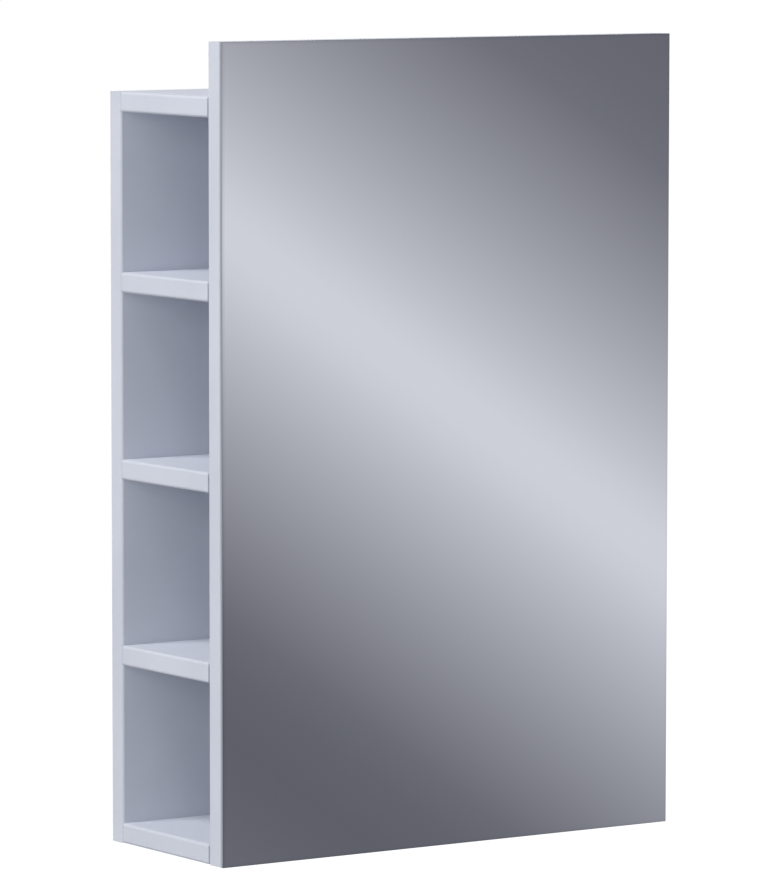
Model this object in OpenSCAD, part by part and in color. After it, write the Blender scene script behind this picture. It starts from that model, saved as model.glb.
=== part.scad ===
// Wall cabinet with one mirror door over the whole front, open niches at the left
// and a closed section behind the door at the right.
// The mirror faces -Y and the wall is at +Y. The origin is under the middle of the cabinet.

/* [Cabinet] */
// Width of the cabinet and of the door
cabinet_w = 400; // [340:1:600]
// Height of the cabinet behind the door
cabinet_h = 560; // [520:1:700]
// Depth of the side board, top board and shelves
board_d = 119.5; // [100:0.5:160]
// Thickness of the boards
board_t = 15; // [12:0.5:19]
// Thickness of the back panel
back_t = 15; // [12:0.5:19]
// Radius of the banded board edges
edge_r = 2; // [0.5:0.1:2.5]
// Radius of the rear edges of the door and of the back panel
rear_edge_r = 0.8; // [0.3:0.1:1.5]

/* [Door] */
// How far the door stands above the cabinet
door_rise = 40; // [0:1:60]
// Thickness of the door board
door_t = 15; // [14.5:0.5:19]
// Gap between the closed door and the cabinet
door_gap = 1.5; // [1.3:0.1:2.5]
// Thickness of the mirror glass
mirror_t = 4; // [3:0.5:6]
// Width of the ground edge of the mirror glass
mirror_arris = 1; // [0.4:0.1:1.8]

/* [Niches] */
// Inner width of the open niches
niche_w = 140; // [90:1:180]
// Distance from one niche shelf to the next
niche_pitch = 139; // [110:1:150]

/* [Closed section] */
// Height of the lower inner shelf's underside
lower_shelf_z = 180; // [130:1:230]
// Height of the upper inner shelf's underside
upper_shelf_z = 365; // [320:1:400]
// How far the inner shelves stand back from the cabinet's front
shelf_setback = 10; // [5:1:30]
// Gap at each end of an inner shelf
shelf_end_gap = 1; // [0.5:0.25:2]
// Diameter of the shelf supports and of their holes
support_d = 5; // [4:0.5:6]
// Depth of the holes for the shelf supports
support_depth = 8; // [6:0.5:10]
// Length of the tongue that carries the shelf
tongue_l = 9; // [6:0.5:12]
// Thickness of that tongue
tongue_t = 3; // [2:0.5:4]
// Distance of the support holes from the cabinet's front
front_row = 37; // [30:1:42]
// Distance of the rear support holes from the back panel
rear_row = 30; // [25:1:40]
// Distance between two support holes in a row
row_pitch = 32; // [25:1:32]

/* [Hinges] */
// Distance of a hinge from the cabinet's bottom or top
hinge_inset = 90; // [60:1:110]
// Diameter of the hinge cup
cup_d = 34.8; // [34:0.1:35]
// Diameter of the hole for the cup
cup_hole_d = 35; // [35:0.1:35.4]
// Depth of the cup in the door
cup_depth = 12.5; // [12.5:0.1:13]
// Wall of the cup
cup_wall = 0.9; // [0.7:0.1:1.1]
// Thickness of the cup's flange
flange_t = 1; // [0.6:0.1:1]
// Distance from the door's edge to the cup's centre
cup_inset = 22; // [21.8:0.1:22.2]
// Distance between a cup's two screws
cup_screw_pitch = 48; // [46:1:52]
// Radius of the hinge pins, but not of the outer link's pin in the cup
pin_r = 1.2; // [1:0.05:1.3]
// Radius of the outer link's pin in the cup
cup_pin_r = 1; // [0.8:0.05:1.1]
// Radial gap between a pin and the link that turns on it
pin_gap = 0.05; // [0.02:0.01:0.1]
// Radius of the outer link's wide eye in the cup
wide_eye_r = 2.4; // [2.35:0.05:2.5]
// Thickness of each plate of the inner link
link_plate_t = 1.6; // [1.2:0.1:1.6]
// Width of the outer link along its pins
outer_link_w = 6.4; // [5:0.1:6.4]
// Gap between pieces that turn beside each other in the hinge
side_gap = 0.4; // [0.3:0.05:0.5]
// Sheet thickness of the hinge arm
arm_t = 1.4; // [1:0.1:1.6]
// Thickness of the mounting plate's wings
plate_t = 1.5; // [1:0.1:2]
// Distance between a mounting plate's two screws
plate_screw_pitch = 32; // [32:1:36]

/* [Fittings] */
// Diameter of the wall screw holes in the back panel
wall_hole_d = 6; // [5:0.5:8]
// Distance between the wall holes across the cabinet
wall_holes_x = 170; // [120:1:180]
// Distance between the wall holes up the cabinet
wall_holes_z = 490; // [400:1:500]
// Diameter of the cabinet screws' threaded part
screw_d = 5; // [4:0.5:6]
// Diameter of the cabinet screws' neck
screw_neck_d = 7; // [6:0.5:8]
// Diameter of the cabinet screws' head
screw_head_d = 9.5; // [8:0.5:10]
// Length of the cabinet screws' threaded part
screw_l = 35; // [25:1:45]
// Diameter of the wooden dowels
dowel_d = 8; // [6:0.5:8]
// Depth of a dowel in the piece that its end goes into
dowel_deep = 20; // [15:1:22]
// Depth of a dowel in the face of a board
dowel_shallow = 10; // [8:0.5:11]
// Diameter of the cover caps
cap_d = 12; // [11:0.5:14]
// Thickness of the cover caps
cap_t = 1.2; // [0.8:0.1:1.5]
// Diameter of the bumper pads
bumper_d = 8; // [6:0.5:10]

/* [Hidden] */
$fn = 64;
eps = 0.01;
white = [0.93, 0.93, 0.94];
steel = [0.72, 0.73, 0.75];

// Places across the depth
total_d = mirror_t + door_t + door_gap + board_d + back_t;
mirror_y = -total_d / 2;
door_y = mirror_y + mirror_t;
door_back_y = door_y + door_t;
front_y = door_back_y + door_gap;
back_y = front_y + board_d;
wall_y = back_y + back_t;

// Places across the width
left_x = -cabinet_w / 2;
right_x = cabinet_w / 2;
side_x = right_x - board_t;
partition_x = left_x + niche_w;
closed_x = partition_x + board_t;
closed_mid_x = (closed_x + side_x) / 2;

// Places up the height
door_h = cabinet_h + door_rise;
top_z = cabinet_h - board_t;
mid_z = cabinet_h / 2;
hinge_zs = [hinge_inset, cabinet_h - hinge_inset];

// Rows of support holes: place from the front, and heights round each shelf
row_ys = [front_y + front_row, back_y - rear_row];
function support_z(shelf_z) = shelf_z - tongue_t / 2;

// Places of the fasteners: back screws of the shelves, boards and uprights, dowels, side screws
shelf_screw_inset = 40;
board_screw_inset = 65;
upright_screw_end = 55;
upright_screw_mid = 35;
dowel_front = 22;
dowel_rear = 17;
side_screw_front = 35;
side_screw_rear = 50;
bumper_inset = 60;

// Clearances, each on one side, and the sockets in the cabinet screws' heads
screw_gap = 0.1;
peg_gap = 0.05;
end_gap = 0.3;
socket_d = 4;
socket_depth = 3;

// Small screws of the hinges: diameter, length, head diameter and head height
plate_screw = [3.8, 11, 7.2, 2];
cup_screw = [3.2, 12, 6.6, 1.6];
fixing_screw = [5, 9.5, 8.5, 2.4];
adjusting_screw = [4, 9.5, 6, 1.8];

// Hinge arm and mounting plate, measured from the side board's face and from its front edge
fixing_v = 80;
adjusting_v = fixing_v - 12;
arm_rear = fixing_v + 12;
arm_rise = adjusting_v - 6;
arm_low = 1.8;
arm_rear_h = 11.5;
arm_front_r = 4.2;
arm_pin_wall = 4.5;
plate_body_h = arm_rear_h - arm_t;
plate_front = adjusting_v - 19;
plate_rear = fixing_v + 10;
plate_wing_r = 6;

// Hinge pivots. The arm's two are measured from the side board's front inner corner,
// inwards and backwards. The cup's two are measured from the door's edge and from its back.
arm_inner_pin = [24.5, 23.5];
arm_outer_pin = [30, 3.5];
cup_inner_pin = [10.25, 2.6];
cup_outer_pin = [16.35, 4.75];
function on_side(p) = [side_x - p[0], front_y + p[1]];
function on_door(p) = [right_x - p[0], door_back_y - p[1]];
inner_a = on_side(arm_inner_pin);
outer_b = on_side(arm_outer_pin);
inner_c = on_door(cup_inner_pin);
outer_d = on_door(cup_outer_pin);
// The wide eye's centre at rest: the play of the outer link's second pivot is shared out round it
outer_e = outer_d + [-0.15, -1.25];
cup_xy = [right_x - cup_inset, door_back_y];
cup_r = cup_d / 2;
cup_screw_offset = 6;

// Layers of the hinge along its pins, each the half width to an outer face
outer_link_z = outer_link_w / 2;
plate_in_z = outer_link_z + side_gap;
plate_out_z = plate_in_z + link_plate_t;
cheek_in_z = plate_out_z + side_gap;
cheek_out_z = cheek_in_z + arm_t;

// Shared shapes

// The turn that lays +Z along an axis: "x", "y", "z", or with a minus the other way
function turn_to(axis) =
    axis == "x" ? [0, 90, 0] : axis == "-x" ? [0, -90, 0]
    : axis == "y" ? [-90, 0, 0] : axis == "-y" ? [90, 0, 0] : [0, 0, 0];

// A rod along an axis from the point p
module rod(p, axis, d, l) {
    translate(p) rotate(turn_to(axis)) cylinder(d = d, h = l);
}

// A cone along an axis from the point p, d1 wide there and d2 wide at its end
module cone(p, axis, d1, d2, l) {
    translate(p) rotate(turn_to(axis)) cylinder(d1 = d1, d2 = d2, h = l);
}

// A disc along an axis from the point p, its far rim rounded by a third of its length
module button(p, axis, d, l) {
    r = l / 3;
    translate(p) rotate(turn_to(axis)) rotate_extrude() {
        square([d / 2, l - r]);
        square([d / 2 - r, l]);
        translate([d / 2 - r, l - r]) circle(r);
    }
}

// A strip of half width r from p to q with round ends
module strip(p, q, r) {
    d = q - p;
    translate(p) rotate(atan2(d[1], d[0])) translate([0, -r]) square([norm(d), 2 * r]);
    translate(p) circle(r);
    translate(q) circle(r);
}

// A bar through the points ps with mitred bends, rs[i] being its half width at ps[i]
function across(v) = [-v[1], v[0]] / norm(v);
function mitre(ps, i) =
    let (last = len(ps) - 1,
         a = across(ps[min(i + 1, last)] - ps[min(i, last - 1)]),
         b = across(ps[max(i, 1)] - ps[max(i - 1, 0)]))
    (a + b) / (1 + a * b);
module bent_bar(ps, rs) {
    is = [for (i = [0:len(ps) - 1]) i];
    polygon(concat(
        [for (i = is) ps[i] - rs[i] * mitre(ps, i)],
        [for (i = is) let (j = len(ps) - 1 - i) ps[j] + rs[j] * mitre(ps, j)]
    ));
}

// A rectangle with round corners at y = 0, and with both_ends at y = h: those at x = 0 have the
// banding's radius, those at x = w the far one
module banded(w, h, both_ends = false, far_r = edge_r) {
    translate([edge_r, 0]) square([w - edge_r - far_r, h]);
    for (side = [[0, edge_r, edge_r], [w - far_r, far_r, w - far_r]]) {
        r = side[1];
        translate([side[0], r]) square([r, both_ends ? h - 2 * r : h - r]);
        for (y = both_ends ? [r, h - r] : [r]) translate([side[2], y]) circle(r);
    }
}

// A level board with its front edge banded, and its left end too where that end shows
module level_board(x1, x2, y1, y2, z, t, left_end = true) {
    intersection() {
        translate([x1, y1, z]) rotate([90, 0, 90]) linear_extrude(x2 - x1)
            translate([0, t]) rotate(-90) banded(t, y2 - y1);
        if (left_end)
            translate([x1, y2, z]) rotate([90, 0, 0]) linear_extrude(y2 - y1)
                translate([0, t]) rotate(-90) banded(t, x2 - x1);
    }
}

// An upright board with its front edge banded
module upright_board(x, y1, y2, z1, z2, t) {
    translate([x, y1, z1]) linear_extrude(z2 - z1) banded(t, y2 - y1);
}

// A panel as wide as the cabinet that faces front and back, banded on its four sides
module banded_panel(y, t, h) {
    intersection() {
        linear_extrude(h) translate([left_x, y]) rotate(-90) mirror([1, 0])
            banded(t, cabinet_w, both_ends = true, far_r = rear_edge_r);
        translate([left_x, y, 0]) rotate([90, 0, 90]) linear_extrude(cabinet_w)
            banded(t, h, both_ends = true, far_r = rear_edge_r);
    }
}

// Places of the fasteners

// Back screws: the height and place of each, with the piece it goes into in front of it
shelf_screw_xs = [left_x + shelf_screw_inset, partition_x - shelf_screw_inset];
board_screw_xs = [left_x + shelf_screw_inset, closed_x + board_screw_inset, side_x - board_screw_inset];
upright_screw_zs = [
    upright_screw_end, mid_z - upright_screw_mid,
    mid_z + upright_screw_mid, cabinet_h - upright_screw_end
];
function niche_z(i) = mid_z + i * niche_pitch;
back_screw_xz = concat(
    [for (i = [-1:1], x = shelf_screw_xs) [x, niche_z(i)]],
    [for (z = [board_t / 2, cabinet_h - board_t / 2], x = board_screw_xs) [x, z]],
    [for (x = [partition_x + board_t / 2, side_x + board_t / 2], z = upright_screw_zs) [x, z]]
);
// Dowels lie clear of the rows of support holes
dowel_ys = [front_y + dowel_front, back_y - dowel_rear];
// Side screws go through the side board into the top and bottom boards
side_screw_ys = [front_y + side_screw_front, back_y - side_screw_rear];
side_screw_zs = [board_t / 2, cabinet_h - board_t / 2];

// One back screw, or with a clearance its hole, which breaks through the face it ends in
module back_screw(p, clear = 0) {
    head_t = screw_head_d / 2 - screw_neck_d / 2;
    over = clear > 0 ? screw_gap : 0;
    rod([p[0], back_y - screw_l - clear, p[1]], "y", screw_d + 2 * clear, screw_l + clear + eps);
    rod([p[0], back_y, p[1]], "y", screw_neck_d + 2 * clear, back_t - head_t / 2);
    cone([p[0], wall_y - head_t, p[1]], "y", screw_neck_d + 2 * clear,
         screw_head_d + 2 * clear + 2 * over, head_t + over);
}

// One side screw, or with a clearance its hole; its head lies under the cover cap
module side_screw(p, clear = 0) {
    head_t = screw_head_d / 2 - screw_neck_d / 2;
    head_x = right_x - cap_t;
    rod([side_x - screw_l - clear, p[0], p[1]], "x", screw_d + 2 * clear, screw_l + clear + eps);
    rod([side_x, p[0], p[1]], "x", screw_neck_d + 2 * clear, board_t - cap_t - head_t / 2);
    cone([head_x - head_t, p[0], p[1]], "x", screw_neck_d + 2 * clear,
         screw_head_d + 2 * clear, head_t + (clear > 0 ? eps : 0));
}

module back_screw_holes() {
    for (p = back_screw_xz) back_screw(p, screw_gap);
}

module side_screw_holes() {
    for (y = side_screw_ys, z = side_screw_zs) {
        side_screw([y, z], screw_gap);
        rod([right_x - cap_t, y, z], "x", cap_d + 2 * peg_gap, cap_t + eps);
    }
}

// Dowels between the niche shelves and the partition lie along X, those at its ends stand up
module all_dowels(clear = 0) {
    l = dowel_deep + dowel_shallow;
    for (y = dowel_ys) {
        for (i = [-1:1])
            rod([partition_x - dowel_deep - clear, y, niche_z(i)], "x", dowel_d + 2 * clear, l + 2 * clear);
        x = partition_x + board_t / 2;
        rod([x, y, board_t - dowel_shallow - clear], "z", dowel_d + 2 * clear, l + 2 * clear);
        rod([x, y, top_z - dowel_deep - clear], "z", dowel_d + 2 * clear, l + 2 * clear);
    }
}

// Support holes in the face at x of an upright board, sunk towards dir
module support_holes(x, dir) {
    for (shelf_z = [lower_shelf_z, upper_shelf_z], y = row_ys, i = [-1:1]) {
        z = support_z(shelf_z) + i * row_pitch;
        rod([dir > 0 ? x - eps : x - support_depth, y, z], "x", support_d, support_depth + eps);
    }
}

// Boards of the cabinet

module back_panel() {
    color(white) difference() {
        banded_panel(back_y, back_t, cabinet_h);
        back_screw_holes();
        for (x = [-1, 1], z = [-1, 1]) {
            p = [closed_mid_x + x * wall_holes_x / 2, back_y - eps, mid_z + z * wall_holes_z / 2];
            rod(p, "y", wall_hole_d, back_t + 2 * eps);
            cone(p, "y", 2 * wall_hole_d, wall_hole_d, wall_hole_d / 2);
        }
    }
}

module top_board() {
    color(white) difference() {
        level_board(left_x, side_x, front_y, back_y, top_z, board_t);
        back_screw_holes();
        side_screw_holes();
        all_dowels(peg_gap);
    }
}

module bottom_board() {
    color(white) difference() {
        level_board(left_x, side_x, front_y, back_y, 0, board_t);
        back_screw_holes();
        side_screw_holes();
        all_dowels(peg_gap);
    }
}

module right_side() {
    color(white) difference() {
        upright_board(side_x, front_y, back_y, 0, cabinet_h, board_t);
        back_screw_holes();
        side_screw_holes();
        support_holes(side_x, 1);
        for (hz = hinge_zs) translate([0, 0, hz]) plate_screw_pair(peg_gap);
    }
}

module partition() {
    color(white) difference() {
        upright_board(partition_x, front_y, back_y, board_t, top_z, board_t);
        back_screw_holes();
        all_dowels(peg_gap);
        support_holes(closed_x, -1);
    }
}

module niche_shelf(i) {
    color(white) difference() {
        level_board(left_x, partition_x, front_y, back_y, niche_z(i) - board_t / 2, board_t);
        back_screw_holes();
        all_dowels(peg_gap);
    }
}

module niche_shelf_lower() { niche_shelf(-1); }
module niche_shelf_middle() { niche_shelf(0); }
module niche_shelf_upper() { niche_shelf(1); }

module inner_shelf(z) {
    color(white)
        level_board(closed_x + shelf_end_gap, side_x - shelf_end_gap,
                    front_y + shelf_setback, back_y - shelf_end_gap, z, board_t, left_end = false);
}

module inner_shelf_lower() { inner_shelf(lower_shelf_z); }
module inner_shelf_upper() { inner_shelf(upper_shelf_z); }

// Fittings of the cabinet

// A support: its peg fills the hole and its round tongue lies under the shelf
module shelf_support(x, y, shelf_z, dir) {
    z = support_z(shelf_z);
    peg_l = support_depth - end_gap;
    stub = shelf_end_gap / 2;
    rod([dir > 0 ? x - peg_l : x - stub, y, z], "x", support_d - 2 * peg_gap, peg_l + stub);
    translate([x, y, shelf_z - tongue_t]) intersection() {
        translate([dir > 0 ? 0 : -tongue_l, -tongue_l, 0]) cube([tongue_l, 2 * tongue_l, tongue_t]);
        union() {
            translate([dir * (tongue_l - support_d), 0, 0]) cylinder(r = support_d, h = tongue_t);
            translate([dir > 0 ? 0 : support_d - tongue_l, -support_d, 0])
                cube([tongue_l - support_d, 2 * support_d, tongue_t]);
        }
    }
}

module shelf_supports() {
    color("silver") for (shelf_z = [lower_shelf_z, upper_shelf_z], y = row_ys) {
        shelf_support(closed_x, y, shelf_z, 1);
        shelf_support(side_x, y, shelf_z, -1);
    }
}

module dowels() {
    color("burlywood") all_dowels();
}

module back_screws() {
    color(steel) for (p = back_screw_xz) difference() {
        back_screw(p);
        rod([p[0], wall_y - socket_depth, p[1]], "y", socket_d, socket_depth + eps);
    }
}

module side_screws() {
    color(steel) for (y = side_screw_ys, z = side_screw_zs) difference() {
        side_screw([y, z]);
        rod([right_x - cap_t - socket_depth, y, z], "x", socket_d, socket_depth + eps);
    }
}

// Each cap lies flush in the side board, with a stud in the socket of the screw below it
module cover_caps() {
    color(white) for (y = side_screw_ys, z = side_screw_zs) {
        button([right_x - cap_t, y, z], "x", cap_d, cap_t);
        rod([right_x - cap_t - socket_depth / 2, y, z], "x", socket_d - 2 * end_gap, socket_depth / 2 + eps);
    }
}

// Soft pads on the partition's front edge stop the door
module bumper_pads() {
    pad_t = door_gap - end_gap;
    color([0.85, 0.85, 0.85]) for (z = [bumper_inset, cabinet_h - bumper_inset])
        button([partition_x + board_t / 2, front_y, z], "-y", bumper_d, pad_t);
}

// Hinges. Each module draws one hinge's piece round z = 0, and the nodes put it at its height.

// Side view of the arm: low and level over the mounting plate, then raised to its two pins
module arm_outline() {
    polygon([for (p = [
        [arm_low, arm_rear], [arm_rear_h, arm_rear], [arm_rear_h, arm_rise],
        [arm_inner_pin[0] + 4, arm_inner_pin[1] + 6], [arm_inner_pin[0] + 7.5, arm_inner_pin[1]],
        [arm_outer_pin[0] + arm_front_r, arm_outer_pin[1]],
        [arm_outer_pin[0] - arm_front_r, arm_outer_pin[1]],
        [arm_inner_pin[0] - arm_pin_wall, arm_inner_pin[1] - 4],
        [arm_inner_pin[0] - arm_pin_wall, arm_inner_pin[1] + 3], [arm_low, arm_rise - 4]
    ]) on_side(p)]);
    translate(outer_b) circle(arm_front_r);
}

module hinge_arm() {
    color(steel) difference() {
        linear_extrude(2 * cheek_out_z, center = true) arm_outline();
        // The channel opens towards the side board, so only the web and the two cheeks are left
        linear_extrude(2 * cheek_in_z, center = true) {
            translate([arm_t, 0]) arm_outline();
            // The outer link swings out past the front of its pin
            translate(outer_b + [-1.5, -arm_front_r - 1]) square([2 * arm_front_r, arm_front_r]);
        }
        for (p = [inner_a, outer_b]) translate([p[0], p[1], -cheek_out_z - eps])
            cylinder(r = pin_r, h = 2 * cheek_out_z + 2 * eps);
        for (hole = [[fixing_v, fixing_screw], [adjusting_v, adjusting_screw]])
            rod([side_x - arm_rear_h - eps, front_y + hole[0], 0], "x", hole[1][0] + 0.4, arm_t + 2 * eps);
    }
}

module hinge_plate() {
    color(steel) difference() {
        union() {
            translate([side_x - plate_body_h, front_y + plate_front, -cheek_in_z + side_gap])
                cube([plate_body_h, plate_rear - plate_front, 2 * (cheek_in_z - side_gap)]);
            translate([side_x, front_y + front_row, 0]) rotate([0, -90, 0])
                linear_extrude(plate_t)
                    strip([-plate_screw_pitch / 2, 0], [plate_screw_pitch / 2, 0], plate_wing_r);
            translate([side_x - plate_t, front_y + front_row - plate_wing_r, -cheek_in_z + side_gap])
                cube([plate_t, plate_front - front_row + plate_wing_r + 2, 2 * (cheek_in_z - side_gap)]);
        }
        plate_screw_pair(peg_gap);
        for (hole = [[fixing_v, fixing_screw], [adjusting_v, adjusting_screw]])
            rod([side_x - plate_body_h - eps, front_y + hole[0], 0], "x", hole[1][0], plate_body_h - 1);
    }
}

// The two screws of a mounting plate, or with a clearance their holes
module plate_screw_pair(clear = 0) {
    for (s = [-1, 1]) {
        z = s * plate_screw_pitch / 2;
        rod([side_x - plate_t - eps, front_y + front_row, z], "x",
            plate_screw[0] + 2 * clear, plate_t + plate_screw[1]);
        if (clear == 0) difference() {
            cone([side_x - plate_t - plate_screw[3], front_y + front_row, z], "x",
                 0.7 * plate_screw[2], plate_screw[2], plate_screw[3]);
            rod([side_x - plate_t - plate_screw[3] - eps, front_y + front_row, z], "x", 2.6, 1.2);
        }
    }
}

// A screw through the arm's web into the mounting plate, with a cross recess in its head
module arm_screw(v, screw) {
    x = side_x - arm_rear_h;
    head_t = screw[3];
    rod([x - eps, front_y + v, 0], "x", screw[0], screw[1]);
    difference() {
        button([x, front_y + v, 0], "-x", screw[2], head_t);
        for (a = [0, 90]) translate([x - head_t, front_y + v, 0]) rotate([a, 0, 0])
            cube([head_t, 0.6 * screw[2], 1], center = true);
    }
}

// Two bent plates on one bush: the bush turns on the arm's pin, the plates' ends on the cup's pin
module inner_link() {
    bush_r = pin_r + 1.8;
    knee_1 = inner_a + [9, -13.5];
    knee_2 = inner_a + [16, -23.5];
    neck = inner_c + [-5.5, 0.05];
    color(steel) difference() {
        union() {
            for (s = [-1, 1]) translate([0, 0, s * (plate_in_z + plate_out_z) / 2])
                linear_extrude(link_plate_t, center = true) {
                    translate(inner_a) circle(bush_r);
                    strip(inner_a, knee_1, 2.4);
                    strip(knee_1, knee_2, 2.2);
                    strip(knee_2, neck, 1);
                    strip(neck, inner_c, 1);
                    translate(inner_c) circle(pin_r + 1.4);
                }
            translate([inner_a[0], inner_a[1], -plate_out_z]) cylinder(r = bush_r, h = 2 * plate_out_z);
        }
        for (p = [inner_a, inner_c]) translate([p[0], p[1], -plate_out_z - eps])
            cylinder(r = pin_r + pin_gap, h = 2 * plate_out_z + 2 * eps);
    }
}

// One thick bent link between the inner link's plates. Its front eye is wide, because the ends
// of the two links don't keep quite the same distance as the door turns.
module outer_link() {
    knee_1 = outer_b + [8.5, -1];
    knee_2 = outer_b + [16.5, -7.5];
    color(steel) difference() {
        linear_extrude(outer_link_w, center = true) {
            translate(outer_b) circle(pin_r + 1.3);
            bent_bar([outer_b, knee_1, knee_2, outer_e], [1.8, 1.8, 1.65, 1.5]);
            translate(outer_e) circle(wide_eye_r + 0.85);
        }
        translate([outer_b[0], outer_b[1], -outer_link_z - eps])
            cylinder(r = pin_r + pin_gap, h = outer_link_w + 2 * eps);
        translate([outer_e[0], outer_e[1], -outer_link_z - eps])
            cylinder(r = wide_eye_r, h = outer_link_w + 2 * eps);
    }
}

// A pin round z = 0, as long as the arm or the cup is wide over its cheeks
module hinge_pin(p, r) {
    translate([p[0], p[1], -cheek_out_z]) cylinder(r = r, h = 2 * cheek_out_z);
}

module hinge_cup() {
    floor_y = door_back_y - cup_depth;
    screw_x = cup_xy[0] - cup_screw_offset;
    color(steel) {
        difference() {
            union() {
                rod([cup_xy[0], floor_y, 0], "y", cup_d, cup_depth + eps);
                translate([0, door_back_y, 0]) rotate([-90, 0, 0]) linear_extrude(flange_t) {
                    translate([cup_xy[0], 0]) circle(cup_r + 1.8);
                    strip([screw_x, -cup_screw_pitch / 2], [screw_x, cup_screw_pitch / 2], 5.5);
                }
            }
            rod([cup_xy[0], floor_y + cup_wall, 0], "y", cup_d - 2 * cup_wall, cup_depth + flange_t);
            cone([cup_xy[0], door_back_y + flange_t - cup_wall, 0], "y",
                 cup_d - 2 * cup_wall, cup_d, cup_wall + eps);
            cup_screw_pair(peg_gap);
        }
        // Cheeks that hold the two pins, inside the round wall
        intersection() {
            rod([cup_xy[0], floor_y, 0], "y", cup_d - cup_wall, cup_depth);
            difference() {
                for (s = [-1, 1]) translate([0, 0, s * (cheek_in_z + cheek_out_z) / 2])
                    linear_extrude(arm_t, center = true) polygon([
                        [outer_d[0] - 3, floor_y + eps], [right_x, floor_y + eps],
                        [right_x, door_back_y - 0.4], [inner_c[0] - 2.5, door_back_y - 0.4],
                        [outer_d[0] - 3, outer_d[1] + 2.5]
                    ]);
                hinge_pin(inner_c, pin_r);
                hinge_pin(outer_d, cup_pin_r);
            }
        }
    }
}

// The two screws of a cup, or with a clearance their holes
module cup_screw_pair(clear = 0) {
    for (s = [-1, 1]) {
        p = [cup_xy[0] - cup_screw_offset, door_back_y + flange_t, s * cup_screw_pitch / 2];
        rod(p - [0, cup_screw[1], 0], "y", cup_screw[0] + 2 * clear, cup_screw[1] + eps);
        if (clear == 0) difference() {
            cone(p, "y", cup_screw[2], 0.7 * cup_screw[2], cup_screw[3]);
            rod(p + [0, 0.6, 0], "y", 2.4, cup_screw[3] - 0.6 + eps);
        }
    }
}

module each_hinge() {
    for (z = hinge_zs) translate([0, 0, z]) children();
}

module hinge_plate_lower() { translate([0, 0, hinge_zs[0]]) hinge_plate(); }
module hinge_plate_upper() { translate([0, 0, hinge_zs[1]]) hinge_plate(); }
module hinge_arm_lower() { translate([0, 0, hinge_zs[0]]) hinge_arm(); }
module hinge_arm_upper() { translate([0, 0, hinge_zs[1]]) hinge_arm(); }
module inner_link_lower() { translate([0, 0, hinge_zs[0]]) inner_link(); }
module inner_link_upper() { translate([0, 0, hinge_zs[1]]) inner_link(); }
module outer_link_lower() { translate([0, 0, hinge_zs[0]]) outer_link(); }
module outer_link_upper() { translate([0, 0, hinge_zs[1]]) outer_link(); }
module hinge_cup_lower() { translate([0, 0, hinge_zs[0]]) hinge_cup(); }
module hinge_cup_upper() { translate([0, 0, hinge_zs[1]]) hinge_cup(); }

module plate_screws() {
    color(steel) each_hinge() plate_screw_pair();
}

module cup_screws() {
    color(steel) each_hinge() cup_screw_pair();
}

module arm_pins() {
    color("silver") each_hinge() {
        hinge_pin(inner_a, pin_r);
        hinge_pin(outer_b, pin_r);
    }
}

module cup_pins() {
    color("silver") each_hinge() {
        hinge_pin(inner_c, pin_r);
        hinge_pin(outer_d, cup_pin_r);
    }
}

module fixing_screws() {
    color(steel) each_hinge() arm_screw(fixing_v, fixing_screw);
}

module adjusting_screws() {
    color(steel) each_hinge() arm_screw(adjusting_v, adjusting_screw);
}

// Door

module door_board() {
    color(white) difference() {
        banded_panel(door_y, door_t, door_h);
        for (z = hinge_zs) {
            rod([cup_xy[0], door_back_y - cup_depth - screw_gap, z], "y",
                cup_hole_d, cup_depth + 2 * screw_gap);
            translate([0, 0, z]) cup_screw_pair(peg_gap);
        }
    }
}

// Glass with a bevel of one size on its four front edges
module mirror_glass() {
    a = mirror_arris;
    color([0.75, 0.8, 0.85]) intersection() {
        translate([0, mirror_y, 0]) linear_extrude(door_h) polygon([
            [left_x + a, 0], [right_x - a, 0], [right_x, a],
            [right_x, mirror_t], [left_x, mirror_t], [left_x, a]
        ]);
        translate([left_x, mirror_y, 0]) rotate([90, 0, 90]) linear_extrude(cabinet_w) polygon([
            [0, a], [a, 0], [mirror_t, 0], [mirror_t, door_h], [a, door_h], [0, door_h - a]
        ]);
    }
}

back_panel();
top_board();
bottom_board();
right_side();
partition();
niche_shelf_lower();
niche_shelf_middle();
niche_shelf_upper();
inner_shelf_lower();
inner_shelf_upper();
shelf_supports();
dowels();
back_screws();
side_screws();
cover_caps();
bumper_pads();
hinge_plate_lower();
hinge_plate_upper();
plate_screws();
hinge_arm_lower();
hinge_arm_upper();
arm_pins();
fixing_screws();
adjusting_screws();
inner_link_lower();
inner_link_upper();
outer_link_lower();
outer_link_upper();
door_board();
mirror_glass();
hinge_cup_lower();
hinge_cup_upper();
cup_pins();
cup_screws();
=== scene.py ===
import math

import bpy
import numpy as np
from mathutils import Matrix, Vector


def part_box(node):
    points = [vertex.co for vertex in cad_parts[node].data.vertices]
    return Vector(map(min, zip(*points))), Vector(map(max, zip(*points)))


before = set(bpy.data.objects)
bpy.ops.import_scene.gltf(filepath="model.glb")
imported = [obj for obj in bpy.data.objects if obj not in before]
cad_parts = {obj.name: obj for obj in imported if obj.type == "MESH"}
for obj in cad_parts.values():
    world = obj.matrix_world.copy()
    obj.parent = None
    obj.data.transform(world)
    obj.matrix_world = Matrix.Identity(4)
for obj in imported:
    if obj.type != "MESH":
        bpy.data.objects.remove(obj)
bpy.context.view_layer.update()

scene = bpy.context.scene
mm = 0.001


# Places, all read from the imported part

def low(node):
    return np.array(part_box(node)[0])


def high(node):
    return np.array(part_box(node)[1])


def middle(node):
    return (low(node) + high(node)) / 2


# Shader work: small helpers that keep the node trees short to write

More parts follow.
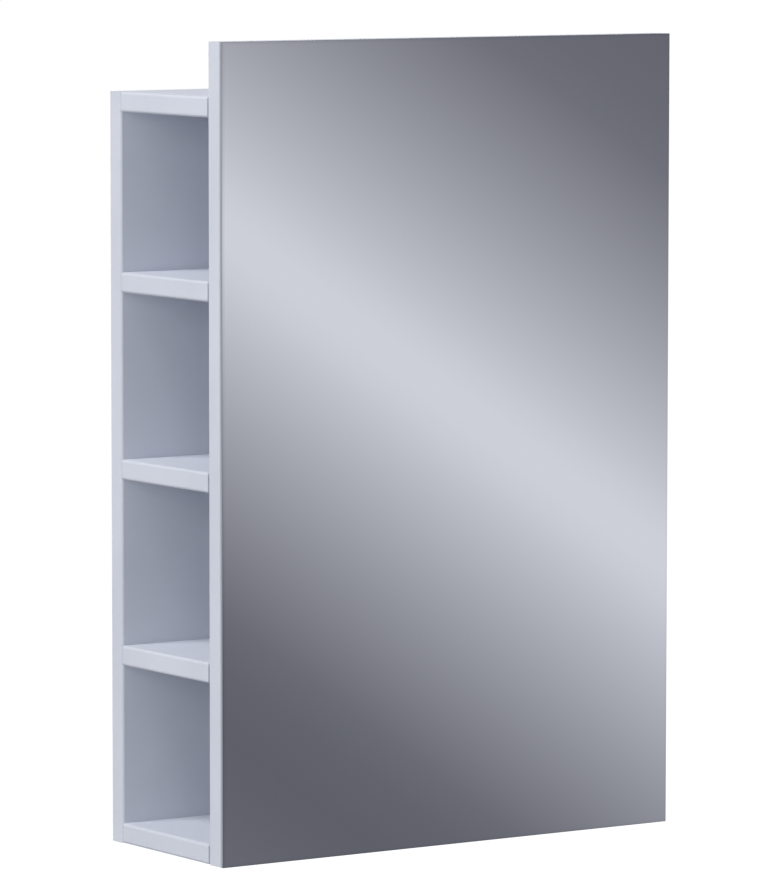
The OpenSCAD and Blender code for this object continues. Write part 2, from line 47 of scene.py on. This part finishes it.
def put(tree, kind, **settings):
    """One shader node. A setting that names an input is its value, any other is the node's own."""
    node = tree.nodes.new(kind)
    for key, value in settings.items():
        name = key.replace("_", " ")
        if key.startswith("in") and key[2:].isdigit():
            node.inputs[int(key[2:])].default_value = value
        elif hasattr(node, key):
            setattr(node, key, value)
        else:
            node.inputs[name].default_value = value
    return node


def wire(tree, source, target):
    tree.links.new(source, target)


def sum_up(tree, operation, a, b=None, c=None, clamp=False):
    """A Math node. a, b and c are numbers or sockets; gives the result's socket."""
    node = put(tree, "ShaderNodeMath", operation=operation, use_clamp=clamp)
    for i, value in enumerate((a, b, c)):
        if value is None:
            continue
        if isinstance(value, (int, float)):
            node.inputs[i].default_value = value
        else:
            wire(tree, value, node.inputs[i])
    return node.outputs[0]


def blend_colour(tree, share, a, b, kind="MIX"):
    """A colour from a to b by share. Each is a number, a colour or a socket."""
    node = put(tree, "ShaderNodeMix", data_type="RGBA", blend_type=kind)
    for i, value in ((0, share), (6, a), (7, b)):
        if isinstance(value, bpy.types.NodeSocket):
            wire(tree, value, node.inputs[i])
        elif i == 0:
            node.inputs[0].default_value = value
        else:
            node.inputs[i].default_value = (*value, 1)
    return node.outputs[2]


def blend_value(tree, share, a, b):
    """A number from a to b by share."""
    node = put(tree, "ShaderNodeMix", data_type="FLOAT")
    for i, value in ((0, share), (2, a), (3, b)):
        if isinstance(value, bpy.types.NodeSocket):
            wire(tree, value, node.inputs[i])
        else:
            node.inputs[i].default_value = value
    return node.outputs[0]


def ramp(tree, value, stops, smooth=True):
    """A colour ramp. stops are (place, colour or grey)."""
    node = put(tree, "ShaderNodeValToRGB")
    node.color_ramp.interpolation = "EASE" if smooth else "LINEAR"
    elements = node.color_ramp.elements
    while len(elements) < len(stops):
        elements.new(0.5)
    for element, (place, colour) in zip(elements, stops):
        element.position = place
        element.color = (*((colour,) * 3 if isinstance(colour, (int, float)) else colour), 1)
    wire(tree, value, node.inputs[0])
    return node.outputs[0]


def effect(name, inputs, outputs):
    """An empty node group with named sockets; inputs and outputs are (name, kind, value)."""
    group = bpy.data.node_groups.new(name, "ShaderNodeTree")
    kinds = {"value": "NodeSocketFloat", "colour": "NodeSocketColor", "vector": "NodeSocketVector"}
    for socket, kind, value in inputs:
        made = group.interface.new_socket(socket, in_out="INPUT", socket_type=kinds[kind])
        made.default_value = value
    for socket, kind in outputs:
        group.interface.new_socket(socket, in_out="OUTPUT", socket_type=kinds[kind])
    start = group.nodes.new("NodeGroupInput")
    end = group.nodes.new("NodeGroupOutput")
    return group, start.outputs, end.inputs


def use(tree, group, **values):
    """A group placed in a material. A value is a number, a vector, a colour or a socket."""
    node = tree.nodes.new("ShaderNodeGroup")
    node.node_tree = group
    for key, value in values.items():
        socket = node.inputs[key.replace("_", " ")]
        if isinstance(value, bpy.types.NodeSocket):
            wire(tree, value, socket)
        else:
            socket.default_value = value
    return node.outputs


def make_face_places():
    """Where a point lies in the box of a board or of the glass. For each axis the distance to the
    nearer of its two faces is taken. Depth is the least of the three, Rim the lesser of the two
    that run along the large faces, Below the distance under the large faces, whose axis is Thin,
    and Broad is 1 on those faces."""
    group, i, o = effect(
        "FacePlaces",
        [("Vector", "vector", (0, 0, 0)), ("Low", "vector", (0, 0, 0)), ("High", "vector", (1, 1, 1)),
         ("Thin", "vector", (0, 0, 1))],
        [("Depth", "value"), ("Rim", "value"), ("Below", "value"), ("Broad", "value")],
    )
    above = put(group, "ShaderNodeVectorMath", operation="SUBTRACT")
    below = put(group, "ShaderNodeVectorMath", operation="SUBTRACT")
    wire(group, i["Vector"], above.inputs[0])
    wire(group, i["Low"], above.inputs[1])
    wire(group, i["High"], below.inputs[0])
    wire(group, i["Vector"], below.inputs[1])
    least = put(group, "ShaderNodeVectorMath", operation="MINIMUM")
    wire(group, above.outputs[0], least.inputs[0])
    wire(group, below.outputs[0], least.inputs[1])
    split = put(group, "ShaderNodeSeparateXYZ")
    wire(group, least.outputs[0], split.inputs[0])
    lesser = sum_up(group, "MINIMUM", split.outputs[0], split.outputs[1])
    wire(group, sum_up(group, "MINIMUM", lesser, split.outputs[2]), o["Depth"])
    aside = put(group, "ShaderNodeVectorMath", operation="ADD")
    wire(group, least.outputs[0], aside.inputs[0])
    wire(group, i["Thin"], aside.inputs[1])
    along = put(group, "ShaderNodeSeparateXYZ")
    wire(group, aside.outputs[0], along.inputs[0])
    lesser = sum_up(group, "MINIMUM", along.outputs[0], along.outputs[1])
    wire(group, sum_up(group, "MINIMUM", lesser, along.outputs[2]), o["Rim"])
    thin = put(group, "ShaderNodeVectorMath", operation="DOT_PRODUCT")
    wire(group, least.outputs[0], thin.inputs[0])
    wire(group, i["Thin"], thin.inputs[1])
    wire(group, thin.outputs["Value"], o["Below"])
    wire(group, sum_up(group, "LESS_THAN", thin.outputs["Value"], 0.05 * mm), o["Broad"])
    return group


def make_pearl():
    """The fine orange-peel of a pressed or moulded face: two layers of noise, one of fine grains
    and one of slow waves, plus a slow change of tone over the piece."""
    group, i, o = effect(
        "PearlFace",
        [("Vector", "vector", (0, 0, 0)), ("Grain", "value", 0.35 * mm)],
        [("Height", "value"), ("Tone", "value")],
    )
    grain = put(group, "ShaderNodeTexNoise", Detail=3.0, Roughness=0.55)
    wave = put(group, "ShaderNodeTexNoise", Scale=90.0, Detail=2.0)
    tone = put(group, "ShaderNodeTexNoise", Scale=11.0, Detail=3.0, Roughness=0.6)
    for node in (grain, wave, tone):
        wire(group, i["Vector"], node.inputs["Vector"])
    wire(group, sum_up(group, "DIVIDE", 1.0, i["Grain"]), grain.inputs["Scale"])
    wire(group, sum_up(group, "MULTIPLY_ADD", wave.outputs[0], 0.4, grain.outputs[0]), o["Height"])
    wire(group, tone.outputs[0], o["Tone"])
    return group


def make_hairline():
    """A thin line where a distance passes a place: 1 on the line, falling to 0 at half its width."""
    group, i, o = effect(
        "Hairline",
        [("Distance", "value", 0), ("Place", "value", 1 * mm), ("Width", "value", 0.2 * mm)],
        [("Line", "value")],
    )
    off = sum_up(group, "ABSOLUTE", sum_up(group, "SUBTRACT", i["Distance"], i["Place"]))
    share = sum_up(group, "DIVIDE", off, sum_up(group, "MULTIPLY", i["Width"], 0.5))
    wire(group, sum_up(group, "SUBTRACT", 1.0, share, clamp=True), o["Line"])
    return group


def make_handling():
    """Faint marks of handling: soft smears a few centimetres wide and stray dust specks."""
    group, i, o = effect(
        "Handling",
        [("Vector", "vector", (0, 0, 0)), ("Amount", "value", 1.0)],
        [("Smear", "value"), ("Dust", "value")],
    )
    smear = put(group, "ShaderNodeTexNoise", Scale=17.0, Detail=4.0, Roughness=0.62, Distortion=1.2)
    dust = put(group, "ShaderNodeTexVoronoi", Scale=260.0, feature="F1")
    pick = put(group, "ShaderNodeTexNoise", Scale=38.0, Detail=2.0)
    for node in (smear, dust, pick):
        wire(group, i["Vector"], node.inputs["Vector"])
    soft = put(group, "ShaderNodeMapRange", interpolation_type="SMOOTHSTEP", in1=0.5, in2=0.75)
    wire(group, smear.outputs[0], soft.inputs[0])
    wire(group, sum_up(group, "MULTIPLY", soft.outputs[0], i["Amount"]), o["Smear"])
    speck = sum_up(group, "LESS_THAN", dust.outputs["Distance"], 0.07)
    some = sum_up(group, "GREATER_THAN", pick.outputs[0], 0.6)
    both = sum_up(group, "MULTIPLY", speck, some)
    wire(group, sum_up(group, "MULTIPLY", both, i["Amount"]), o["Dust"])
    return group


def make_chip_core():
    """Pressed wood chips where a hole opens the board: angular cells a millimetre or two long,
    each with its own tone, and dark glue between them."""
    group, i, o = effect(
        "ChipCore", [("Vector", "vector", (0, 0, 0))], [("Color", "colour"), ("Height", "value")]
    )
    stretch = put(group, "ShaderNodeMapping")
    stretch.inputs["Scale"].default_value = (1.0, 1.0, 2.2)
    wire(group, i["Vector"], stretch.inputs["Vector"])
    chips = put(group, "ShaderNodeTexVoronoi", Scale=700.0, feature="F1", Randomness=1.0)
    fibre = put(group, "ShaderNodeTexNoise", Scale=2600.0, Detail=2.0)
    for node in (chips, fibre):
        wire(group, stretch.outputs[0], node.inputs["Vector"])
    split = put(group, "ShaderNodeSeparateColor")
    wire(group, chips.outputs["Color"], split.inputs[0])
    colour = ramp(group, split.outputs[0], [
        (0.0, (0.25, 0.155, 0.08)), (0.45, (0.43, 0.30, 0.18)), (1.0, (0.62, 0.48, 0.32))], smooth=False)
    gap = sum_up(group, "GREATER_THAN", chips.outputs["Distance"], 0.62)
    colour = blend_colour(group, sum_up(group, "MULTIPLY", gap, 0.5), colour, (0.12, 0.07, 0.035))
    wire(group, blend_colour(group, 0.25, colour, fibre.outputs[0], "MULTIPLY"), o["Color"])
    wire(group, sum_up(group, "SUBTRACT", fibre.outputs[0], chips.outputs["Distance"]), o["Height"])
    return group


def make_plated():
    """Plated steel: fine scratches as stretched noise and slow stains of tone."""
    group, i, o = effect(
        "PlatedSteel",
        [("Vector", "vector", (0, 0, 0)), ("Lie", "vector", (1, 1, 8)), ("Size", "value", 900.0)],
        [("Scratch", "value"), ("Stain", "value"), ("Height", "value")],
    )
    lie = put(group, "ShaderNodeVectorMath", operation="MULTIPLY")
    wire(group, i["Vector"], lie.inputs[0])
    wire(group, i["Lie"], lie.inputs[1])
    scratch = put(group, "ShaderNodeTexNoise", Detail=4.0, Roughness=0.7)
    wire(group, lie.outputs[0], scratch.inputs["Vector"])
    wire(group, i["Size"], scratch.inputs["Scale"])
    stain = put(group, "ShaderNodeTexNoise", Scale=140.0, Detail=3.0, Distortion=0.6)
    wire(group, i["Vector"], stain.inputs["Vector"])
    wire(group, scratch.outputs[0], o["Scratch"])
    wire(group, stain.outputs[0], o["Stain"])
    wire(group, sum_up(group, "MULTIPLY_ADD", stain.outputs[0], 0.3, scratch.outputs[0]), o["Height"])
    return group


face_places = make_face_places()
pearl = make_pearl()
hairline = make_hairline()
handling = make_handling()
chip_core = make_chip_core()
plated = make_plated()


def new_finish(name):
    """An empty node material: its tree, its shader and its Object coordinates."""
    material = bpy.data.materials.new(name)
    material.use_nodes = True
    tree = material.node_tree
    tree.nodes.clear()
    end = tree.nodes.new("ShaderNodeOutputMaterial")
    shader = tree.nodes.new("ShaderNodeBsdfPrincipled")
    wire(tree, shader.outputs[0], end.inputs[0])
    place = tree.nodes.new("ShaderNodeTexCoord").outputs["Object"]
    return material, tree, shader, place


def bump(tree, shader, height, depth, strength):
    """Gives the shader the relief of height."""
    node = put(tree, "ShaderNodeBump", Strength=strength, Distance=depth)
    wire(tree, height, node.inputs["Height"])
    wire(tree, node.outputs[0], shader.inputs["Normal"])


edge_round = 2 * mm                         # the boards' rounded ends
seam_place, seam_width = 1.08 * edge_round, 0.16 * mm
joint_place = float(low("back_panel")[1])   # where the boards meet the back panel, on Y
joint_width = 3.4 * mm
core_depth = 0.3 * edge_round               # how far under a face the chips begin
bend_full = 0.086 * edge_round ** 2         # Rim times Below halfway round such an edge
board_white = (0.756, 0.780, 0.869)
band_white = (0.769, 0.792, 0.877)
cooler_white = tuple(0.955 * c for c in board_white)
# The second and third greys here are painted shade colours: one where the boards meet the back panel, one
# over their rounded ends.
seam_grey, painted_joint_shade_grey, painted_bend_shade_grey = (0.39, 0.40, 0.44), (0.24, 0.25, 0.28), (0.38, 0.39, 0.42)
dust_grey = (0.54, 0.54, 0.56)


def board_finish(name, node, thin):
    """White melamine board: pearly faces, a seam beside each banded edge, a painted shade where it
    meets the back panel and where its ends bend, and chips in its holes."""
    material, tree, shader, place = new_finish(name)
    box = use(tree, face_places, Vector=place, Low=tuple(low(node)), High=tuple(high(node)), Thin=thin)
    skin = use(tree, pearl, Vector=place, Grain=0.4 * mm)
    marks = use(tree, handling, Vector=place, Amount=0.5)
    core = use(tree, chip_core, Vector=place)
    line = use(tree, hairline, Distance=box["Rim"], Place=seam_place, Width=seam_width)
    split = put(tree, "ShaderNodeSeparateXYZ")
    wire(tree, place, split.inputs[0])
    # Painted shade: a band 3.4 mm wide darkened where the board meets the back panel.
    joint = use(tree, hairline, Distance=split.outputs[1], Place=joint_place, Width=joint_width)
    seam = sum_up(tree, "MULTIPLY", sum_up(tree, "MULTIPLY", line["Line"], box["Broad"]), 0.5)
    # Painted shade over the boards' rounded ends, full from about halfway round each edge.
    bend = sum_up(tree, "MULTIPLY", box["Rim"], box["Below"])
    bend = sum_up(tree, "MULTIPLY", bend, 1 / bend_full, clamp=True)
    tone = ramp(tree, skin["Tone"], [(0.35, 0.0), (0.65, 0.75)])
    colour = blend_colour(tree, box["Broad"], band_white, board_white)
    colour = blend_colour(tree, tone, colour, cooler_white)
    colour = blend_colour(tree, seam, colour, seam_grey)
    # The painted shade at the back panel and over the rounded ends darkens the colour by up to 0.2 and 0.13.
    colour = blend_colour(tree, sum_up(tree, "MULTIPLY", joint["Line"], 0.2), colour, painted_joint_shade_grey)
    colour = blend_colour(tree, sum_up(tree, "MULTIPLY", bend, 0.13), colour, painted_bend_shade_grey)
    colour = blend_colour(tree, sum_up(tree, "MULTIPLY", marks["Dust"], 0.35), colour, dust_grey)
    inside = sum_up(tree, "GREATER_THAN", box["Depth"], core_depth)
    wire(tree, blend_colour(tree, inside, colour, core["Color"]), shader.inputs["Base Color"])
    rough = blend_value(tree, marks["Smear"], 0.44, 0.36)
    rough = sum_up(tree, "MULTIPLY_ADD", skin["Height"], 0.06, rough)
    wire(tree, blend_value(tree, inside, rough, 0.9), shader.inputs["Roughness"])
    height = blend_value(tree, inside, sum_up(tree, "MULTIPLY", skin["Height"], 0.12), core["Height"])
    height = sum_up(tree, "SUBTRACT", height, sum_up(tree, "MULTIPLY", seam, 0.5))
    bump(tree, shader, height, 0.1 * mm, 0.6)
    shader.inputs["Specular IOR Level"].default_value = 0.45
    return material


contact = 0.01 * mm                         # closer than this, a point lies on the face itself
paint_depth = 0.2 * mm
rim_fade = 3 * mm


def mirror_finish(name, node):
    """Silvered glass. Its front and its polished arris reflect alike, a little duller at the rim.
    The edge shows a grey for the glass with painted shading, darker at the front and paler
    towards the board behind it, and the paint that protects the silver is a thin line at its back."""
    material, tree, shader, place = new_finish(name)
    box = use(tree, face_places, Vector=place, Low=tuple(low(node)), High=tuple(high(node)), Thin=(0, 1, 0))
    split = put(tree, "ShaderNodeSeparateXYZ")
    wire(tree, place, split.inputs[0])
    from_front = sum_up(tree, "SUBTRACT", split.outputs[1], float(low(node)[1]))
    from_back = sum_up(tree, "SUBTRACT", float(high(node)[1]), split.outputs[1])
    edge = sum_up(tree, "LESS_THAN", box["Rim"], contact)
    back = sum_up(tree, "LESS_THAN", from_back, contact)
    dull = sum_up(tree, "MAXIMUM", edge, back)
    bright = sum_up(tree, "SUBTRACT", 1.0, dull)
    paint = sum_up(tree, "LESS_THAN", from_back, paint_depth)
    glass_depth = float(high(node)[1] - low(node)[1])
    flow = put(tree, "ShaderNodeTexNoise", Scale=30.0, Detail=2.0)
    wire(tree, place, flow.inputs["Vector"])
    marks = use(tree, handling, Vector=place, Amount=0.6)
    rim = ramp(tree, sum_up(tree, "DIVIDE", box["Rim"], rim_fade),
               [(0.0, (0.66, 0.67, 0.68)), (0.3, (0.86, 0.87, 0.875)), (1.0, (0.915, 0.925, 0.93))])
    # Painted shading: the glass edge's grey runs from dark at the front to pale towards the board behind it.
    glass = ramp(tree, sum_up(tree, "DIVIDE", from_front, glass_depth),
                 [(0.2, (0.28, 0.297, 0.335)), (0.6, (0.41, 0.427, 0.475)), (1.0, (0.648, 0.67, 0.734))])
    glass = blend_colour(tree, flow.outputs[0], glass, (0.92, 0.95, 0.94), "MULTIPLY")
    glass = blend_colour(tree, paint, glass, (0.54, 0.55, 0.58))
    wire(tree, blend_colour(tree, dull, rim, glass), shader.inputs["Base Color"])
    wire(tree, bright, shader.inputs["Metallic"])
    face_rough = sum_up(tree, "MULTIPLY_ADD", marks["Smear"], 0.01, 0.012)
    wire(tree, blend_value(tree, dull, face_rough, 0.22), shader.inputs["Roughness"])
    wire(tree, polished_arris(tree, bright), shader.inputs["Normal"])
    return material


def polished_arris(tree, share):
    """The normal of the glass's flat front wherever share is 1, so that the arris reflects with it."""
    front = put(tree, "ShaderNodeVectorTransform", vector_type="NORMAL", convert_from="OBJECT",
                convert_to="WORLD")
    front.inputs[0].default_value = (0, -1, 0)
    own = tree.nodes.new("ShaderNodeNewGeometry").outputs["Normal"]
    mix = put(tree, "ShaderNodeMix", data_type="VECTOR")
    wire(tree, share, mix.inputs[0])
    wire(tree, own, mix.inputs[4])
    wire(tree, front.outputs[0], mix.inputs[5])
    return mix.outputs[1]


def steel_finish(name, colour, dark, rough, lie, size=900.0, rounding=0.3 * mm):
    """Plated steel of one tone, with slow stains towards dark, fine scratches in its roughness and
    softly rounded edges."""
    material, tree, shader, place = new_finish(name)
    plate = use(tree, plated, Vector=place, Lie=lie, Size=size)
    tone = ramp(tree, plate["Stain"], [(0.3, 0.0), (0.7, 1.0)])
    wire(tree, blend_colour(tree, tone, colour, dark), shader.inputs["Base Color"])
    wire(tree, sum_up(tree, "MULTIPLY_ADD", plate["Scratch"], 0.14, rough - 0.07), shader.inputs["Roughness"])
    shader.inputs["Metallic"].default_value = 1.0
    soft = put(tree, "ShaderNodeBevel", samples=6, Radius=rounding)
    relief = put(tree, "ShaderNodeBump", Strength=0.35, Distance=0.006 * mm)
    wire(tree, plate["Height"], relief.inputs["Height"])
    wire(tree, soft.outputs[0], relief.inputs["Normal"])
    wire(tree, relief.outputs[0], shader.inputs["Normal"])
    return material


def beech_finish(name):
    """Beech dowel: long pores and darker flecks along the grain."""
    material, tree, shader, place = new_finish(name)
    turn = put(tree, "ShaderNodeMapping")
    turn.inputs["Scale"].default_value = (0.12, 1.0, 0.12)
    wire(tree, place, turn.inputs["Vector"])
    pores = put(tree, "ShaderNodeTexNoise", Scale=2200.0, Detail=3.0)
    flecks = put(tree, "ShaderNodeTexNoise", Scale=500.0, Detail=2.0, Distortion=0.4)
    for node in (pores, flecks):
        wire(tree, turn.outputs[0], node.inputs["Vector"])
    tone = ramp(tree, pores.outputs[0], [(0.3, (0.52, 0.33, 0.17)), (0.7, (0.68, 0.48, 0.29))])
    fleck = ramp(tree, flecks.outputs[0], [(0.55, 0.0), (0.7, 0.5)])
    wire(tree, blend_colour(tree, fleck, tone, (0.40, 0.22, 0.10)), shader.inputs["Base Color"])
    shader.inputs["Roughness"].default_value = 0.62
    bump(tree, shader, pores.outputs[0], 0.08 * mm, 0.6)
    return material


def disc_distance(tree, place, node):
    """Distance from the middle of the nearest disc, and the discs' radius. The discs stand at the
    corners of the node's box, so folding the box about its own middle brings them together."""
    radius = float(middle("bottom_board")[2] - low(node)[2])
    to_disc = (high(node) - low(node)) / 2 - radius
    for operation, other in (("SUBTRACT", middle(node)), ("ABSOLUTE", None), ("SUBTRACT", to_disc),
                             ("MULTIPLY", (0, 1, 1)), ("LENGTH", None)):
        step = put(tree, "ShaderNodeVectorMath", operation=operation)
        wire(tree, place, step.inputs[0])
        if other is not None:
            step.inputs[1].default_value = tuple(other)
        place = step.outputs["Value" if operation == "LENGTH" else "Vector"]
    return place, radius


def plastic_finish(name, colour, rough, clear=0.0, discs=None):
    """Moulded plastic: a fine matt grain and a slow change of tone. Where a node of flush discs is
    named, a fine painted shade marks the gap round each."""
    material, tree, shader, place = new_finish(name)
    skin = use(tree, pearl, Vector=place, Grain=0.18 * mm)
    darker = tuple(0.93 * c for c in colour)
    tone = ramp(tree, skin["Tone"], [(0.35, 0.0), (0.65, 1.0)])
    base = blend_colour(tree, tone, colour, darker)
    if discs:
        away, radius = disc_distance(tree, place, discs)
        rim = use(tree, hairline, Distance=away, Place=radius, Width=0.9 * mm)
        # Painted shade: a dark ring 0.9 mm wide round each cap, where the gap lies.
        base = blend_colour(tree, sum_up(tree, "MULTIPLY", rim["Line"], 0.6), base, (0.20, 0.21, 0.24))
    wire(tree, base, shader.inputs["Base Color"])
    wire(tree, sum_up(tree, "MULTIPLY_ADD", skin["Height"], 0.12, rough - 0.06), shader.inputs["Roughness"])
    shader.inputs["Transmission Weight"].default_value = clear
    bump(tree, shader, skin["Height"], 0.02 * mm, 0.5)
    return material


def dress(material, *nodes):
    """Gives a CAD node its finish."""
    for node in nodes:
        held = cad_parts[node]
        if not held.material_slots:
            held.data.materials.append(material)
        for place in held.material_slots:
            place.material = material


upright, level, facing = (1, 0, 0), (0, 0, 1), (0, 1, 0)
for node, thin in {
    "back_panel": facing, "top_board": level, "bottom_board": level, "right_side": upright,
    "partition": upright, "niche_shelf_lower": level, "niche_shelf_middle": level,
    "niche_shelf_upper": level, "inner_shelf_lower": level, "inner_shelf_upper": level,
    "door_board": facing,
}.items():
    dress(board_finish("board_" + node, node, thin), node)
dress(mirror_finish("silvered_glass", "mirror_glass"), "mirror_glass")

nickel = steel_finish("nickel_plate", (0.72, 0.71, 0.69), (0.66, 0.65, 0.63), 0.24, (1, 1, 7),
                      rounding=0.7 * mm)
zinc = steel_finish("zinc_plate", (0.68, 0.70, 0.73), (0.60, 0.63, 0.67), 0.3, (6, 1, 1), 1200.0)
pin_steel = steel_finish("ground_pin", (0.76, 0.76, 0.75), (0.70, 0.70, 0.69), 0.18, (1, 1, 0.2), 3000.0)
dress(nickel, "hinge_plate_lower", "hinge_plate_upper", "hinge_arm_lower", "hinge_arm_upper",
      "hinge_cup_lower", "hinge_cup_upper", "inner_link_lower", "inner_link_upper",
      "outer_link_lower", "outer_link_upper", "shelf_supports")
dress(zinc, "back_screws", "side_screws", "plate_screws", "cup_screws", "fixing_screws",
      "adjusting_screws")
dress(pin_steel, "arm_pins", "cup_pins")
dress(beech_finish("beech"), "dowels")
dress(plastic_finish("cap_plastic", (0.788, 0.805, 0.864), 0.42, discs="cover_caps"), "cover_caps")
dress(plastic_finish("pad_rubber", (0.74, 0.75, 0.77), 0.35, 0.35), "bumper_pads")


# Surfaces

def surface(name, points, closed=False, smooth=True):
    """A mesh from a grid of points, shaped (rows, columns, 3). A closed one joins its last column
    to its first."""
    rows, columns = points.shape[:2]
    index = np.arange(rows * columns).reshape(rows, columns)
    if closed:
        index = np.hstack([index, index[:, :1]])
    faces = np.stack([index[:-1, :-1], index[:-1, 1:], index[1:, 1:], index[1:, :-1]], -1).reshape(-1, 4)
    mesh = bpy.data.meshes.new(name)
    mesh.from_pydata(points.reshape(-1, 3).tolist(), [], faces.tolist())
    mesh.update()
    mesh.polygons.foreach_set("use_smooth", np.full(len(mesh.polygons), smooth))
    piece = bpy.data.objects.new(name, mesh)
    scene.collection.objects.link(piece)
    return piece


# Stage: floor, reflected studio, lamps, world and camera

band_period = 1.2
band_crest = -0.2865
band_direction = (-0.5218, -0.261, -0.7807)
band_light = 1.12
cool_shift = (-0.011, -0.007, 0.028)        # added to each grey's red, green and blue
cabinet_middle = Vector((0, 0, 0.3))


def soft_band(tree, along):
    """The studio that the mirror sees: broad diagonal bands of light. From its crest at a place of
    a half, each band falls evenly, as the eye judges it, to a flat grey at its two ends."""
    off = sum_up(tree, "WRAP", sum_up(tree, "SUBTRACT", along, band_crest), band_period / 2, -band_period / 2)
    share = sum_up(tree, "MULTIPLY_ADD", off, 1 / band_period, 0.5)
    greys = [(0.0, 0.385), (0.05, 0.402), (0.11, 0.416), (0.155, 0.437), (0.46, 0.782), (0.485, 0.800),
             (0.5, 0.803), (0.515, 0.800), (0.54, 0.782), (0.845, 0.420), (0.89, 0.392), (0.95, 0.376),
             (1.0, 0.385)]
    tinted = [(place, tuple(grey + shift for shift in cool_shift)) for place, grey in greys]
    gamma = put(tree, "ShaderNodeGamma", Gamma=2.2)
    wire(tree, ramp(tree, share, tinted, smooth=False), gamma.inputs[0])
    return gamma.outputs[0]


def make_reflected_studio():
    """A dome round the cabinet: centre plus radius times the directions of a grid of longitude and
    height angles. Only mirror-like reflections see it."""
    u = np.linspace(0, 2 * np.pi, 65)[:-1]
    v = np.linspace(-np.pi / 2, np.pi / 2, 33)
    v, u = np.meshgrid(v, u, indexing="ij")
    centre, radius = np.array(cabinet_middle), 4.0
    points = centre + radius * np.stack([np.cos(v) * np.cos(u), np.cos(v) * np.sin(u), np.sin(v)], -1)
    dome = surface("reflected_studio", points, closed=True)
    material = bpy.data.materials.new("reflected_studio")
    material.use_nodes = True
    tree = material.node_tree
    tree.nodes.clear()
    place = tree.nodes.new("ShaderNodeTexCoord").outputs["Object"]
    along = put(tree, "ShaderNodeVectorMath", operation="DOT_PRODUCT")
    wire(tree, place, along.inputs[0])
    along.inputs[1].default_value = band_direction
    light = put(tree, "ShaderNodeEmission", Strength=band_light)
    end = tree.nodes.new("ShaderNodeOutputMaterial")
    wire(tree, soft_band(tree, along.outputs["Value"]), light.inputs[0])
    wire(tree, light.outputs[0], end.inputs[0])
    dome.data.materials.append(material)
    dome.visible_camera = dome.visible_diffuse = dome.visible_shadow = False
    dome.visible_transmission = dome.visible_volume_scatter = False


make_reflected_studio()


def make_floor(height):
    """A plain pale floor far below the hung cabinet: a flat grid. The camera adds a glow to its own
    colour, so it reads white where no shadow lies."""
    glow_strength = 0.905
    side = np.linspace(-60, 60, 31)
    y, x = np.meshgrid(side, side, indexing="ij")
    floor = surface("floor", np.stack([x, y, np.full_like(x, height)], -1), smooth=False)
    material = bpy.data.materials.new("pale_floor")
    material.use_nodes = True
    tree = material.node_tree
    tree.nodes.clear()
    path = tree.nodes.new("ShaderNodeLightPath")
    matt = put(tree, "ShaderNodeBsdfDiffuse")
    matt.inputs[0].default_value = (0.66, 0.66, 0.67, 1)
    glow = put(tree, "ShaderNodeEmission")
    glow.inputs[0].default_value = (1, 1, 1, 1)
    wire(tree, sum_up(tree, "MULTIPLY", path.outputs["Is Camera Ray"], glow_strength), glow.inputs[1])
    both = tree.nodes.new("ShaderNodeAddShader")
    end = tree.nodes.new("ShaderNodeOutputMaterial")
    wire(tree, matt.outputs[0], both.inputs[0])
    wire(tree, glow.outputs[0], both.inputs[1])
    wire(tree, both.outputs[0], end.inputs[0])
    floor.data.materials.append(material)
    floor.visible_glossy = False


make_floor(-1.15)


def make_world():
    """White where the camera, metal or glass looks at it, and a plain pale light for the rest."""
    world = bpy.data.worlds.new("pale_room")
    scene.world = world
    world.use_nodes = True
    tree = world.node_tree
    tree.nodes.clear()
    path = tree.nodes.new("ShaderNodeLightPath")
    seen = sum_up(tree, "MAXIMUM", path.outputs["Is Camera Ray"], path.outputs["Is Glossy Ray"])
    seen = sum_up(tree, "MAXIMUM", seen, path.outputs["Is Transmission Ray"])
    room = put(tree, "ShaderNodeBackground", Strength=0.17)
    white = put(tree, "ShaderNodeBackground", Strength=1.0)
    room.inputs[0].default_value = (0.93, 0.97, 1, 1)
    white.inputs[0].default_value = (1, 1, 1, 1)
    either = tree.nodes.new("ShaderNodeMixShader")
    end = tree.nodes.new("ShaderNodeOutputWorld")
    wire(tree, seen, either.inputs[0])
    wire(tree, room.outputs[0], either.inputs[1])
    wire(tree, white.outputs[0], either.inputs[2])
    wire(tree, either.outputs[0], end.inputs[0])


make_world()


def lamp(name, place, power, size, colour=(1, 1, 1)):
    """A square soft box that stands at place and faces the cabinet's middle."""
    data = bpy.data.lights.new(name, "AREA")
    data.shape, data.size, data.energy, data.color = "SQUARE", size, power, colour
    box = bpy.data.objects.new(name, data)
    scene.collection.objects.link(box)
    box.location = place
    aim = cabinet_middle - Vector(place)
    box.rotation_euler = aim.to_track_quat("-Z", "Y").to_euler()


lamp("left_lamp", (-3.4, 0.13, 5.1), 229, 2.35)
lamp("left_fill", (-3.5, -2.8, 1.2), 44, 2.2, (0.93, 0.97, 1))
lamp("front_lamp", (-0.9, -4.1, 0.8), 17, 2.4)
lamp("right_lamp", (4.1, -0.6, 1.5), 52, 2.4)
lamp("back_lamp", (0.6, 4.3, 1.5), 46, 2.4)


def make_camera():
    """The camera stands in front, to the left and a little above, and looks slightly down."""
    data = bpy.data.cameras.new("camera")
    data.sensor_width, data.lens = 36, 250.45
    data.clip_start, data.clip_end = 0.1, 200
    camera = bpy.data.objects.new("camera", data)
    scene.collection.objects.link(camera)
    stand = Matrix.Translation((-2.6038, -3.8637, 0.7364))
    yaw, pitch, roll = math.radians(33.898), math.radians(5.467), math.radians(0.039)
    turn = Matrix.Rotation(-yaw, 4, "Z") @ Matrix.Rotation(math.pi / 2 - pitch, 4, "X")
    turn = turn @ Matrix.Rotation(roll, 4, "Z")
    camera.matrix_world = stand @ turn
    scene.camera = camera


make_camera()
scene.view_settings.view_transform = "Standard"
